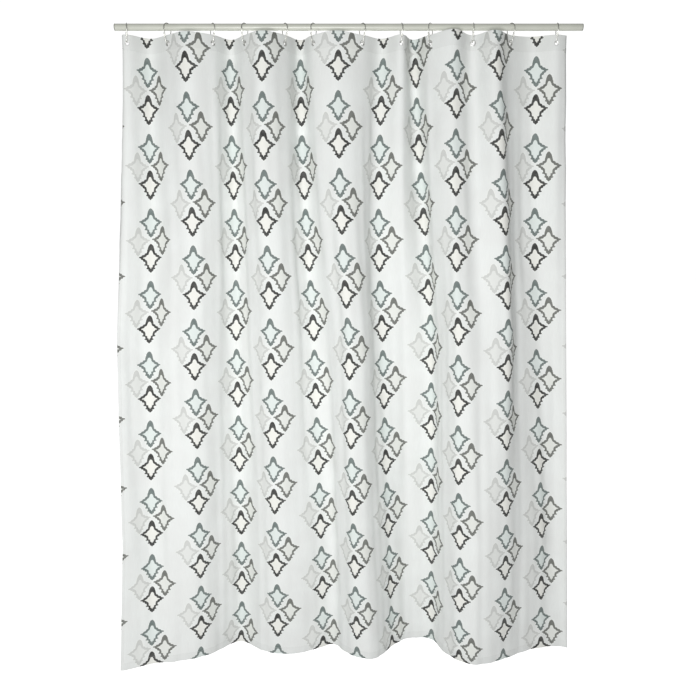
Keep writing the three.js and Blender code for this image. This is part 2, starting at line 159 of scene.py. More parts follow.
def smooth_line(points, samples):
    """A centripetal Catmull-Rom curve through the points, as even steps of its parameter."""
    points = np.array(points, float)
    first = 2 * points[0] - points[1]
    last = 2 * points[-1] - points[-2]
    knots = np.vstack([first, points, last])
    share = np.linspace(0, 1, samples + 1) * (len(points) - 1)
    piece = np.minimum(share.astype(int), len(points) - 2)
    t = (share - piece)[:, None]
    x0, x1, x2, x3 = (knots[piece + k] for k in range(4))

    def gap(a, b):
        return np.maximum(((b - a) ** 2).sum(1) ** 0.25, 1e-6)[:, None]

    d0, d1, d2 = gap(x0, x1), gap(x1, x2), gap(x2, x3)
    t1 = ((x1 - x0) / d0 - (x2 - x0) / (d0 + d1) + (x2 - x1) / d1) * d1
    t2 = ((x2 - x1) / d1 - (x3 - x1) / (d1 + d2) + (x3 - x2) / d2) * d1
    c2 = -3 * x1 + 3 * x2 - 2 * t1 - t2
    c3 = 2 * x1 - 2 * x2 + t1 + t2
    return x1 + t1 * t + c2 * t**2 + c3 * t**3


def lay_along(points):
    """The heading of each short step of cloth along a line, and the line's stretch lengths."""
    points = np.array(points, float) * MM
    line = smooth_line(points[:, 1:], LINE_SAMPLES)
    reach = np.concatenate([[0], np.cumsum(np.linalg.norm(np.diff(line, axis=0), axis=1))])
    count = len(points) - 1
    ends = reach[[round(n / count * LINE_SAMPLES) for n in range(count + 1)]]
    flat = np.arange(STEPS + 1) * STEP
    goal = np.minimum(np.interp(flat, points[:, 0], ends), reach[-1])
    at = np.stack([np.interp(goal, reach, line[:, k]) for k in range(2)], axis=1)
    moved = np.diff(at, axis=0)
    return np.arctan2(moved[:, 1], moved[:, 0]), np.diff(ends)


def softened(headings):
    """Each heading shared with its neighbours', because the header can't crease sharply."""
    near = [
        headings[max(0, k - ROUNDING) : k + ROUNDING + 1].mean()
        for k in range(len(headings))
    ]
    return np.array(near)


def walk(headings, start, gain, turn):
    angle = headings * gain + turn
    moves = STEP * np.stack([np.cos(angle), np.sin(angle)], axis=1)
    return np.vstack([start, start + np.cumsum(moves, axis=0)])


def fit_between(headings, start, end):
    """The same cloth from a start point to an end point: its folds open or close to fit."""
    gain, turn = 1.0, 0.0
    line = walk(headings, start, gain, turn)
    for _ in range(25):
        bend = (STEP * headings * np.sin(headings * gain + turn)).sum()
        gain += (line[-1, 0] - end[0]) / bend
        turn -= (line[-1, 1] - end[1]) / (end[0] - start[0])
        line = walk(headings, start, gain, turn)
    return line


def points_on(line, flat):
    along = np.arange(STEPS + 1) * STEP
    return np.stack([np.interp(flat, along, line[:, k]) for k in range(2)], axis=-1)


def eyelets_on(line):
    """Where the eyelets come along a line of the cloth, and which way they face."""
    flats = EYELET_FROM_SIDE + np.arange(EYELET_COUNT) * PITCH
    left, right = (points_on(line, flats + reach) for reach in (-FACET / 2, FACET / 2))
    x, forward = ((left + right) / 2).T
    yaw = np.arctan2(right[:, 1] - left[:, 1], right[:, 0] - left[:, 0])
    return x, forward, yaw


def end_of(point):
    return np.array(point[1:]) * MM


def lay_top():
    """The line at the rings: each stretch between two rings holds the same length of cloth.

    Swells and aims are set right again and again until the line passes under every ring.
    """
    depths = np.full(len(SWELLS), FIRST_SWELL)
    rings = np.array([(x, 0) for x in RING_PLACES], float)
    aims = rings.copy()
    halves = len(TOP_LEFT) + 2 * np.arange(len(SWELLS))
    for _ in range(FIT_ROUNDS):
        points = list(TOP_LEFT)
        for i, (x, forward) in enumerate(aims):
            flat = (EYELET_FROM_SIDE + i * PITCH) / MM
            points.append((flat, x, forward))
            if i < len(SWELLS):
                middle, side = SWELLS[i][:2]
                points.append((flat + PITCH / MM / 2, middle, side * depths[i]))
        points.append(TOP_RIGHT)
        headings, lengths = lay_along(points)
        headings = softened(headings)
        line = fit_between(headings, end_of(points[0]), end_of(points[-1]))
        depths += (PITCH - lengths[halves] - lengths[halves + 1]) / MM * FIT_SHARE
        x, forward = eyelets_on(line)[:2]
        aims += (rings - np.stack([x, forward], axis=1) / MM) * FIT_SHARE
    return headings


def guide(depth, points):
    return depth, lay_along(points)[0], end_of(points[0]), end_of(points[-1])


# The four lines that set the shape of the whole cloth: depth, headings, start and end.
LINES = [
    (HEADER_DEPTH, lay_top(), end_of(TOP_LEFT[0]), end_of(TOP_RIGHT)),
    guide(MIDDLE_DEPTH, MIDDLE_LINE),
    guide(LOW_DEPTH, LOW_LINE),
    guide(CLOTH_DROP, HEM_LINE),
]


def line_at(depth):
    """The line of the cloth, seen from above, at a depth below its top edge."""
    first = sum(depth >= line[0] for line in LINES[1:-1])
    above, below = LINES[first], LINES[first + 1]
    share = min(1, max(0, (depth - above[0]) / (below[0] - above[0])))
    headings, start, end = (mix(above[k], below[k], share) for k in (1, 2, 3))
    return fit_between(headings, start, end)


def edge_rise(flat):
    """How far the top edge stands above its height at the rings."""
    gap = np.floor((flat - EYELET_FROM_SIDE) / PITCH).astype(int)
    share = (flat - EYELET_FROM_SIDE) / PITCH - gap
    inside = (gap >= 0) & (gap < len(SWELLS))
    rises = np.array([rise for _, _, rise in SWELLS]) * MM
    high = np.where(inside, rises[np.clip(gap, 0, len(SWELLS) - 1)], 0)
    return high * np.sin(np.pi * share) ** 2


class Hang:
    """The hanging cloth's middle surface, worked out once on a fine grid and read by depth."""

    ROW = 10 * MM

    def __init__(self):
        self.flats = np.linspace(0, CLOTH_WIDTH, STEPS + 1)
        rows = round(CLOTH_DROP / self.ROW)
        self.depths = np.linspace(0, CLOTH_DROP, rows + 1)
        lines = np.array([points_on(line_at(depth), self.flats) for depth in self.depths])
        aside = np.linalg.norm(np.diff(lines, axis=0), axis=2)
        fall = np.sqrt(np.maximum(self.ROW**2 - aside**2, 0))
        z = np.zeros(lines.shape[:2])
        z[0] = TOP_EDGE_Z + edge_rise(self.flats)
        z[1:] = z[0] - np.cumsum(fall, axis=0)
        self.place = np.stack([lines[..., 0], -lines[..., 1], z], axis=-1)
        self.place += self.normals(self.place) * creases(self.flats, self.depths)[..., None]
        self.front = self.normals(self.place)

    @staticmethod
    def normals(place):
        """Directions to the printed side."""
        down = np.gradient(place, axis=0)
        along = np.gradient(place, axis=1)
        front = np.cross(down, along)
        return front / np.linalg.norm(front, axis=2, keepdims=True)

    def read(self, grid, flats, depths):
        """Bilinear reading of a grid at matching arrays of flats and depths."""
        a = np.clip(flats / STEP, 0, len(self.flats) - 1 - 1e-9)
        b = np.clip(depths / self.ROW, 0, len(self.depths) - 1 - 1e-9)
        i, j = b.astype(int), a.astype(int)
        s, t = (b - i)[..., None], (a - j)[..., None]
        above = grid[i, j] * (1 - t) + grid[i, j + 1] * t
        below = grid[i + 1, j] * (1 - t) + grid[i + 1, j + 1] * t
        return above * (1 - s) + below * s

    def at(self, flats, depths, offset):
        flats, depths, offset = np.broadcast_arrays(flats, depths, offset)
        front = self.read(self.front, flats, depths)
        front /= np.linalg.norm(front, axis=-1, keepdims=True)
        return self.read(self.place, flats, depths) + front * offset[..., None]


def waves(flat, depth, count, width, height, seed):
    """Soft uneven relief: a sum of seeded waves, about 1 high, with features of a given size."""
    random = np.random.default_rng(seed)
    total = 0
    for _ in range(count):
        across = random.normal() / width
        down = random.normal() / height
        phase = random.uniform(0, 2 * math.pi)
        total = total + np.sin(2 * math.pi * (across * flat + down * depth) + phase)
    return total * math.sqrt(2 / count)


FREE_BELOW = 0.25
HEADER_PUCKER = 12 * MM
SIDE_PUCKER = 14 * MM
LOW_PUCKER = 30 * MM


def creases(flats, depths):
    """How far the cloth's own small relief stands off its smooth folds, in metres."""
    flat, depth = np.meshgrid(flats, depths)
    free = np.clip((depth - HEADER_DEPTH) / FREE_BELOW, 0, 1)
    streaks = waves(flat, depth, count=24, width=0.11, height=1.6, seed=3) * 1.1 * MM
    rumples = waves(flat, depth, count=30, width=0.16, height=0.22, seed=5) * 0.8 * MM
    seam = np.exp(-(((depth - HEADER_DEPTH) / HEADER_PUCKER) ** 2))
    puckers = waves(flat, depth, count=16, width=24 * MM, height=60 * MM, seed=7) * 0.22 * MM
    sides = np.exp(-((np.minimum(flat, CLOTH_WIDTH - flat) / SIDE_PUCKER) ** 2))
    side_puckers = waves(flat, depth, count=16, width=60 * MM, height=26 * MM, seed=9) * 0.3 * MM
    low = np.exp(-(((CLOTH_DROP - depth) / LOW_PUCKER) ** 2))
    low_puckers = waves(flat, depth, count=16, width=26 * MM, height=80 * MM, seed=11) * 0.3 * MM
    return (streaks + rumples) * free + puckers * seam + side_puckers * sides + low_puckers * low


HANG = Hang()


EYELET_Z = TOP_EDGE_Z - EYELET_FROM_TOP
EYELETS = list(zip(*eyelets_on(line_at(0))))

# ---------------------------------------------------------------- mesh helpers


def make_mesh(name, points, faces, materials, face_materials=None, smooth=True):
    mesh = bpy.data.meshes.new(name)
    mesh.from_pydata([tuple(p) for p in np.asarray(points, float)], [], faces)
    for material in materials:
        mesh.materials.append(material)
    if face_materials is not None:
        mesh.polygons.foreach_set("material_index", np.array(face_materials, np.int32))
    mesh.polygons.foreach_set("use_smooth", [smooth] * len(mesh.polygons))
    mesh.update()
    obj = bpy.data.objects.new(name, mesh)
    bpy.context.scene.collection.objects.link(obj)
    return obj


def set_flat(obj, flat_places):
    """Keeps where each point lies on the flat cloth, for the print and the weave."""
    attribute = obj.data.attributes.new("flat_place", "FLOAT_VECTOR", "POINT")
    values = np.zeros((len(flat_places), 3), np.float32)
    values[:, :2] = flat_places
    attribute.data.foreach_set("vector", values.ravel())


def grid_faces(rows, columns, start=0, flip=False):
    faces = []
    for r in range(rows - 1):
        for c in range(columns - 1):
            a = start + r * columns + c
            face = (a, a + columns, a + columns + 1, a + 1)
            faces.append(face[::-1] if flip else face)
    return faces


def lathe(name, profile, sides, material):
    """Turns a closed profile of (radius, along) points about +Y."""
    turn = np.arange(sides) * 2 * math.pi / sides
    points = []
    for radius, along in profile:
        points += [(radius * math.cos(t), along, radius * math.sin(t)) for t in turn]
    faces = []
    count = len(profile)
    for k in range(count):
        after = (k + 1) % count
        for s in range(sides):
            t = (s + 1) % sides
            faces.append((k * sides + s, k * sides + t, after * sides + t, after * sides + s))
    return make_mesh(name, points, faces, [material])


def rounded(corners, radius, steps=4):
    """A closed outline with each corner rounded off."""
    outline = []
    count = len(corners)
    for k in range(count):
        before = np.array(corners[k - 1], float)
        here = np.array(corners[k], float)
        after = np.array(corners[(k + 1) % count], float)
        into = here - before
        out = after - here
        cut = min(radius, np.linalg.norm(into) / 2.2, np.linalg.norm(out) / 2.2)
        a = here - into / np.linalg.norm(into) * cut
        b = here + out / np.linalg.norm(out) * cut
        for s in range(steps + 1):
            t = s / steps
            outline.append(tuple(a * (1 - t) ** 2 + 2 * here * t * (1 - t) + b * t**2))
    return outline


def apply_matrix(obj, matrix):
    obj.data.transform(matrix)
    obj.data.update()
    return obj


# ---------------------------------------------------------------- node helpers


def linear(colour):
    """A hex colour as the linear values that a shader takes."""
    parts = [int(colour[k : k + 2], 16) / 255 for k in (1, 3, 5)]
    return tuple(p / 12.92 if p <= 0.04045 else ((p + 0.055) / 1.055) ** 2.4 for p in parts) + (1,)


class Graph:
    """Writes a node tree as formulas."""

    def __init__(self, tree):
        self.tree = tree

    def put(self, socket, value):
        if isinstance(value, bpy.types.NodeSocket):
            self.tree.links.new(value, socket)
        else:
            socket.default_value = value

    def node(self, kind, inputs=(), **settings):
        made = self.tree.nodes.new(kind)
        for name, value in settings.items():
            setattr(made, name, value)
        for key, value in dict(inputs).items():
            self.put(made.inputs[key], value)
        return made

    def math(self, operation, a, b=0.0, c=0.0):
        made = self.node("ShaderNodeMath", {0: a, 1: b, 2: c}, operation=operation)
        return made.outputs[0]

    def ramp(self, value, low, high, to_low=0.0, to_high=1.0, smooth=True):
        made = self.node("ShaderNodeMapRange", {0: value, 1: low, 2: high, 3: to_low, 4: to_high})
        made.interpolation_type = "SMOOTHSTEP" if smooth else "LINEAR"
        return made.outputs[0]

    def blend(self, share, a, b):
        made = self.node("ShaderNodeMix", data_type="RGBA")
        for index, value in ((0, share), (6, a), (7, b)):
            self.put(made.inputs[index], value)
        return made.outputs[2]

    def noise(self, vector, scale, detail=2.0, roughness=0.5):
        inputs = {"Vector": vector, "Scale": scale, "Detail": detail, "Roughness": roughness}
        return self.node("ShaderNodeTexNoise", inputs).outputs[0]

    def stretch(self, vector, amounts):
        made = self.node("ShaderNodeVectorMath", {0: vector, 1: amounts}, operation="MULTIPLY")
        return made.outputs[0]

    def bump(self, height, strength, distance):
        inputs = {"Height": height, "Strength": strength, "Distance": distance}
        return self.node("ShaderNodeBump", inputs)


def new_material(name):
    material = bpy.data.materials.new(name)
    material.use_nodes = True
    graph = Graph(material.node_tree)
    return material, graph, material.node_tree.nodes["Principled BSDF"]


# ---------------------------------------------------------------- the print

STAR_HEIGHT = 90 * MM
STAR_SPAN = 40 * MM

# A star's half width on its way down from its tip, in millimetres, and its inner field's.
STAR_OUTLINE = [
    (0, 0), (1, 3), (3.7, 5.9), (9.6, 9.1), (19.9, 11.8), (27.5, 13.2), (29, 19), (33, 20.5),
    (34.5, 28), (38, 30), (39.5, 38), (42.5, 38.5), (44, 32.5), (48, 31), (49.5, 25.5),
    (54, 24), (55.5, 18.5), (62, 17.5), (63.5, 21), (66, 20), (67.5, 12.5), (73.5, 11.5),
    (75, 14.5), (77.5, 13), (79, 8), (84, 7.5), (85.5, 4.6), (90, 0),
]
STAR_FIELD = [
    (0, 0), (19.5, 0), (21, 3.5), (26, 6), (31, 7.5), (33.5, 9.5), (35.5, 14), (39.5, 16),
    (41.5, 23.5), (44, 25), (45.5, 19), (49, 17.5), (51, 13.5), (55, 12), (57, 11.5),
    (64, 11), (65.5, 6), (72, 5.5), (73.5, 2), (76, 1.5), (78, 0), (90, 0),
]


def half_width(graph, down, points):
    """A float curve that gives a star's half width at a distance below its tip."""
    made = graph.node("ShaderNodeFloatCurve")
    curve = made.mapping.curves[0]
    height = STAR_HEIGHT / MM
    span = STAR_SPAN / MM
    for along, width in points[1:-1]:
        curve.points.new(along / height, width / span)
    curve.points[0].location = (0, points[0][1] / span)
    curve.points[len(points) - 1].location = (1, points[-1][1] / span)
    for point in curve.points:
        point.handle_type = "VECTOR"
    made.mapping.update()
    graph.put(made.inputs["Value"], graph.math("DIVIDE", down, STAR_HEIGHT))
    return graph.math("MULTIPLY", made.outputs[0], STAR_SPAN)


EDGE_BLUR = 0.5 * MM
RIM_OUTER = 3.4 * MM
RIM_INNER = 1.2 * MM
STAR_MARGIN = 4 * MM


def star_group():
    """Takes a place relative to a star's tip, and gives the star's line, field and rim."""
    tree = bpy.data.node_groups.new("print_star", "ShaderNodeTree")
    for name in ("Across", "Down"):
        tree.interface.new_socket(name, in_out="INPUT", socket_type="NodeSocketFloat")
    for name in ("Line", "Field", "Rim"):
        tree.interface.new_socket(name, in_out="OUTPUT", socket_type="NodeSocketFloat")
    graph = Graph(tree)
    given = tree.nodes.new("NodeGroupInput")
    made = tree.nodes.new("NodeGroupOutput")
    across = graph.math("ABSOLUTE", given.outputs["Across"])
    down = given.outputs["Down"]
    inside = graph.math("SUBTRACT", half_width(graph, down, STAR_OUTLINE), across)
    field = graph.math("SUBTRACT", half_width(graph, down, STAR_FIELD), across)
    near = graph.math("GREATER_THAN", down, -STAR_MARGIN)
    near_end = graph.math("LESS_THAN", down, STAR_HEIGHT + STAR_MARGIN)
    span = graph.math("MULTIPLY", near, near_end)
    outer = graph.math("MULTIPLY", graph.ramp(inside, 0.0, EDGE_BLUR), span)
    inner = graph.math("MULTIPLY", graph.ramp(field, 0.0, EDGE_BLUR), span)
    rim = graph.math("MULTIPLY", graph.ramp(inside, -RIM_OUTER, -RIM_INNER), span)
    graph.put(made.inputs["Line"], graph.math("SUBTRACT", outer, inner))
    graph.put(made.inputs["Field"], inner)
    graph.put(made.inputs["Rim"], rim)
    return tree


COLUMN_FIRST = 100 * MM
COLUMN_PITCH = 160.5 * MM
ROW_PITCH = 224 * MM
ODD_ROW = 155 * MM
EVEN_ROW = 43 * MM
JAG = 2.2 * MM
RIM_COVER = 0.75
FIELD_COVER = 0.9

# Each star's tip from the middle of its medallion in millimetres, across and up, and its colours.
STARS = [
    ("pale", -41, 42, "#cdcfcc", "#e2e4e1"),
    ("sage", 0, 99.3, "#65716f", "#dee6e3"),
    ("taupe", 41.7, 45.4, "#676964", "#e4e6e1"),
    ("dark", 0, -9.9, "#0c0c09", "#ecece6"),
]


def print_group():
    """Takes a cloth colour and a place on the flat cloth, and gives the printed colour."""
    tree = bpy.data.node_groups.new("medallion_print", "ShaderNodeTree")
    tree.interface.new_socket("Flat", in_out="INPUT", socket_type="NodeSocketVector")
    tree.interface.new_socket("Cloth", in_out="INPUT", socket_type="NodeSocketColor")
    tree.interface.new_socket("Colour", in_out="OUTPUT", socket_type="NodeSocketColor")
    tree.interface.new_socket("Ink", in_out="OUTPUT", socket_type="NodeSocketFloat")
    graph = Graph(tree)
    given = tree.nodes.new("NodeGroupInput")
    made = tree.nodes.new("NodeGroupOutput")
    split = graph.node("ShaderNodeSeparateXYZ", {0: given.outputs["Flat"]})
    flat, depth = split.outputs[0], split.outputs[1]
    shift = graph.math("SUBTRACT", flat, COLUMN_FIRST - COLUMN_PITCH)
    column = graph.math("ROUND", graph.math("DIVIDE", shift, COLUMN_PITCH))
    across = graph.math("SUBTRACT", shift, graph.math("MULTIPLY", column, COLUMN_PITCH))
    odd = graph.math("ABSOLUTE", graph.math("MODULO", column, 2.0))
    first = graph.math("ADD", EVEN_ROW, graph.math("MULTIPLY", odd, ODD_ROW - EVEN_ROW))
    below = graph.math("SUBTRACT", depth, first)
    row = graph.math("ROUND", graph.math("DIVIDE", below, ROW_PITCH))
    up = graph.math("SUBTRACT", graph.math("MULTIPLY", row, ROW_PITCH), below)
    wobble = graph.noise(given.outputs["Flat"], 300.0, 1.0)
    jag = graph.math("MULTIPLY", graph.math("SUBTRACT", wobble, 0.5), JAG)
    across = graph.math("ADD", across, jag)
    star = star_group()
    dye = graph.noise(given.outputs["Flat"], 900.0, 2.0, 0.7)
    patch = graph.noise(given.outputs["Flat"], 60.0, 2.0)
    even = graph.ramp(dye, 0.3, 0.7, to_low=0.9, to_high=1.0)
    worn = graph.ramp(patch, 0.3, 0.7, to_low=-0.06, to_high=0.0)
    cover = graph.math("ADD", even, worn)
    colour = given.outputs["Cloth"]
    ink = 0.0
    for _, right, high, line, field in STARS:
        used = graph.node("ShaderNodeGroup", node_tree=star)
        graph.put(used.inputs["Across"], graph.math("SUBTRACT", across, right * MM))
        graph.put(used.inputs["Down"], graph.math("SUBTRACT", high * MM, up))
        rim = graph.math("MULTIPLY", used.outputs["Rim"], RIM_COVER)
        colour = graph.blend(rim, colour, linear("#eff1ed"))
        filled = graph.math("MULTIPLY", used.outputs["Field"], FIELD_COVER)
        colour = graph.blend(filled, colour, linear(field))
        inked = graph.math("MULTIPLY", used.outputs["Line"], cover)
        colour = graph.blend(inked, colour, linear(line))
        ink = graph.math("MAXIMUM", ink, used.outputs["Line"])
    graph.put(made.inputs["Colour"], colour)
    graph.put(made.inputs["Ink"], ink)
    return tree


PRINT = print_group()


def flat_place(graph):
    found = graph.node("ShaderNodeAttribute", attribute_name="flat_place")
    return found.outputs["Vector"]


def weave_height(graph, place, ends_per_metre):
    """Plain weave: threads that pass over and under each other, as a height from 0 to 1."""
    split = graph.node("ShaderNodeSeparateXYZ", {0: place})
    turns = 2 * math.pi * ends_per_metre
    warp = graph.math("SINE", graph.math("MULTIPLY", split.outputs[0], turns))
    weft = graph.math("SINE", graph.math("MULTIPLY", split.outputs[1], turns * 0.9))
    return graph.math("MULTIPLY_ADD", graph.math("MULTIPLY", warp, weft), 0.5, 0.5)


def cloth_material(name, show_through):
    """Printed cloth. show_through is 1 on the printed side, and less on the back."""
    material, graph, shader = new_material(name)
    place = flat_place(graph)
    mottle = graph.noise(place, 9.0, 3.0)
    slub = graph.noise(graph.stretch(place, (700, 30, 1)), 1.0, 2.0)
    base = graph.blend(graph.ramp(mottle, 0.3, 0.7), linear("#e8eae8"), linear("#ecefed"))
    base = graph.blend(graph.ramp(slub, 0.35, 0.65, 0.0, 0.3), base, linear("#e1e3e1"))
    printed = graph.node("ShaderNodeGroup", node_tree=PRINT)
    graph.put(printed.inputs["Flat"], place)
    graph.put(printed.inputs["Cloth"], base)
    colour = graph.blend(show_through, base, printed.outputs["Colour"])
    # Painted shade: the hems, where the cloth lies double and less light comes through, are
    # coloured a little darker.
    split = graph.node("ShaderNodeSeparateXYZ", {0: place})
    from_right = graph.math("SUBTRACT", CLOTH_WIDTH, split.outputs[0])
    edge = graph.math("MINIMUM", split.outputs[0], from_right)
    in_side = graph.ramp(edge, SIDE_HEM - MM, SIDE_HEM, 1.0, 0.0)
    in_top = graph.ramp(split.outputs[1], HEADER_DEPTH - MM, HEADER_DEPTH, 1.0, 0.0)
    in_low = graph.ramp(split.outputs[1], CLOTH_DROP - BOTTOM_HEM - MM, CLOTH_DROP - BOTTOM_HEM)
    hem = graph.math("MAXIMUM", graph.math("MAXIMUM", in_side, in_top), in_low)
    hem_shade = graph.node("ShaderNodeHueSaturation", {"Value": 0.955, "Fac": hem, "Color": colour})
    graph.put(shader.inputs["Base Color"], hem_shade.outputs[0])
    ink = graph.math("MULTIPLY", printed.outputs["Ink"], show_through)
    graph.put(shader.inputs["Roughness"], graph.ramp(ink, 0.0, 1.0, 0.62, 0.74, False))
    shader.inputs["Specular IOR Level"].default_value = 0.16
    shader.inputs["Sheen Weight"].default_value = 0.05
    shader.inputs["Sheen Roughness"].default_value = 0.5
    height = weave_height(graph, place, 1600)
    bump = graph.bump(height, 0.25, 0.2 * MM)
    wrinkle = graph.noise(place, 28.0, 3.0)
    soft_bump = graph.bump(wrinkle, 0.18, 4 * MM)
    graph.put(soft_bump.inputs["Normal"], bump.outputs[0])
    graph.put(shader.inputs["Normal"], soft_bump.outputs[0])
    return material


def tape_material():
    material, graph, shader = new_material("woven_tape")
    place = flat_place(graph)
    height = weave_height(graph, place, 900)
    # Painted shade: the low parts of the weave are coloured darker.
    colour = graph.blend(graph.ramp(height, 0.2, 0.8), linear("#d9d9d3"), linear("#ecece6"))
    graph.put(shader.inputs["Base Color"], colour)
    shader.inputs["Roughness"].default_value = 0.85
    bump = graph.bump(height, 0.5, 0.4 * MM)
    graph.put(shader.inputs["Normal"], bump.outputs[0])
    return material


def thread_material():
    material, graph, shader = new_material("sewing_thread")
    place = graph.node("ShaderNodeTexCoord").outputs["Object"]
    twist = graph.noise(place, 2500.0, 1.0)
    colour = graph.blend(graph.ramp(twist, 0.3, 0.7), linear("#c9cbc8"), linear("#f0f1ee"))
    graph.put(shader.inputs["Base Color"], colour)
    shader.inputs["Roughness"].default_value = 0.6
    return material


def metal_material(name, dark, light, rough_low, rough_high, stretch):
    """Metal with fine drawn marks along one direction and small uneven tarnish."""
    material, graph, shader = new_material(name)
    place = graph.node("ShaderNodeTexCoord").outputs["Object"]
    drawn = graph.stretch(place, stretch)
    marks = graph.noise(drawn, 1.0, 3.0)
    tarnish = graph.noise(place, 120.0, 3.0)
    both = graph.math("MULTIPLY_ADD", marks, 0.5, graph.math("MULTIPLY", tarnish, 0.5))
    colour = graph.blend(graph.ramp(both, 0.35, 0.65), linear(dark), linear(light))
    graph.put(shader.inputs["Base Color"], colour)
    shader.inputs["Metallic"].default_value = 1.0
    graph.put(shader.inputs["Roughness"], graph.ramp(both, 0.3, 0.7, rough_low, rough_high))
    bump = graph.bump(marks, 0.08, 0.2 * MM)
    graph.put(shader.inputs["Normal"], bump.outputs[0])
    return material


def rod_material():
    """Cream-grey paint with a little orange peel, and darker streaks along its top: rub marks
    where the rings slide, and painted shade on the tube's top edge.
    """
    material, graph, shader = new_material("rod_paint")
    place = graph.node("ShaderNodeTexCoord").outputs["Object"]
    peel = graph.noise(place, 450.0, 2.0)
    rubs = graph.noise(graph.stretch(place, (14, 900, 900)), 1.0, 2.0)
    split = graph.node("ShaderNodeSeparateXYZ", {0: place})
    on_top = graph.ramp(split.outputs[2], ROD_RADIUS * 0.75, ROD_RADIUS)
    top_rubs_and_shade = graph.math("MULTIPLY", graph.ramp(rubs, 0.5, 0.7), on_top)
    patch = graph.noise(place, 14.0, 2.0)
    colour = graph.blend(graph.ramp(patch, 0.3, 0.7), linear("#c6c8bd"), linear("#cdcfc4"))
    # Painted shade: the top of the tube is coloured darker in streaks, together with the rub marks
    # there.
    colour = graph.blend(graph.math("MULTIPLY", top_rubs_and_shade, 0.5), colour, linear("#b2b3ab"))
    graph.put(shader.inputs["Base Color"], colour)
    graph.put(shader.inputs["Roughness"], graph.ramp(top_rubs_and_shade, 0.0, 1.0, 0.34, 0.5))
    shader.inputs["Coat Weight"].default_value = 0.2
    shader.inputs["Coat Roughness"].default_value = 0.2
    bump = graph.bump(peel, 0.05, 0.4 * MM)
    graph.put(shader.inputs["Normal"], bump.outputs[0])
    return material


def plastic_material():
    material, graph, shader = new_material("cap_plastic")
    place = graph.node("ShaderNodeTexCoord").outputs["Object"]
    grain = graph.noise(place, 1800.0, 2.0)
    colour = graph.blend(graph.ramp(grain, 0.3, 0.7), linear("#8b8d87"), linear("#96988f"))
    graph.put(shader.inputs["Base Color"], colour)
    shader.inputs["Roughness"].default_value = 0.5
    bump = graph.bump(grain, 0.2, 0.2 * MM)
    graph.put(shader.inputs["Normal"], bump.outputs[0])
    return material


CLOTH_FRONT = cloth_material("printed_cloth_front", 1.0)
CLOTH_BACK = cloth_material("printed_cloth_back", 0.35)
TAPE = tape_material()
THREAD = thread_material()
RING_METAL = metal_material("ring_wire", "#a4a49f", "#cfcfca", 0.2, 0.32, (300, 300, 30))
EYELET_METAL = metal_material("eyelet_metal", "#c3c4c1", "#dadbd8", 0.38, 0.5, (900, 900, 900))
ROD_PAINT = rod_material()
CAP_PLASTIC = plastic_material()

# ---------------------------------------------------------------- the cloth and its hems

ACROSS = 300
DOWN_STEP = 10 * MM
FINE = 1.2 * MM
FINE_REACH = 8.4 * MM
FOLD_STEPS = 6
FOLD_ROOM = 1.5 * MM


def columns(start, end):
    """Places across the flat cloth, closer together beside each eyelet."""
    even = np.linspace(start, end, ACROSS + 1)
    middles = EYELET_FROM_SIDE + np.arange(EYELET_COUNT) * PITCH
    beside = np.abs(even[:, None] - middles).min(axis=1) < FINE_REACH + FINE
    fine = np.arange(-FINE_REACH, FINE_REACH + FINE / 2, FINE)
    return np.sort(np.concatenate([even[~beside], (middles[:, None] + fine).ravel()]))


def header_depths():
    """Depths over the header from its top to its bottom, closer together beside the eyelets."""
    fine = np.arange(-FINE_REACH, FINE_REACH + FINE / 2, FINE) + EYELET_FROM_TOP
    above = np.linspace(TAPE_TOP, fine[0] - 3 * MM, 3)
    below = np.linspace(fine[-1] + 3 * MM, TAPE_BOTTOM, 3)
    return np.concatenate([above, fine, below])


def holed_faces(flats, depths):
    """The faces of a grid of cloth, without those in front of an eyelet's bore."""
    flat = np.broadcast_to((flats[:-1] + flats[1:]) / 2, (len(depths) - 1, len(flats) - 1))
    depth = np.broadcast_to(((depths[:-1] + depths[1:]) / 2)[:, None], flat.shape)
    beyond = (flat - EYELET_FROM_SIDE + PITCH / 2) % PITCH - PITCH / 2
    open_ = np.hypot(beyond, depth - EYELET_FROM_TOP) < CLOTH_HOLE
    faces = grid_faces(len(depths), len(flats))
    return [face for face, hole in zip(faces, open_.ravel()) if not hole]


def fold_path(start, end, turn):
    """Rows of a turned hem: (depth, offset) from a flap's edge, round the fold, to the sheet."""
    radius = abs(turn) / 2
    outward = 1 if end > start else -1
    rows = []
    for k in range(1, FOLD_STEPS):
        angle = math.pi * k / FOLD_STEPS
        depth = end - outward * radius * (1 - math.sin(angle))
        rows.append((depth, turn / 2 * (1 + math.cos(angle))))
    return rows


def panel_rows():
    """The cloth from the top hem's flap, over the top edge, down the front, to the hem's flap."""
    header = header_depths()
    flap = [(depth, HEADER_FLAP) for depth in [HEADER_DEPTH + 1 * MM, *header[::-1], FOLD_ROOM]]
    sheet = np.linspace(HEADER_DEPTH, CLOTH_DROP - FOLD_ROOM, 196)
    body = [(depth, 0.0) for depth in [FOLD_ROOM, *header, *sheet]]
    turned = np.linspace(CLOTH_DROP - FOLD_ROOM, CLOTH_DROP - BOTTOM_HEM, 4)
    low = [(depth, HEM_FLAP) for depth in turned]
    top_fold = fold_path(HEADER_DEPTH, 0.0, HEADER_FLAP)
    low_fold = fold_path(0.0, CLOTH_DROP, HEM_FLAP)[::-1]
    return flap + top_fold + body + low_fold + low


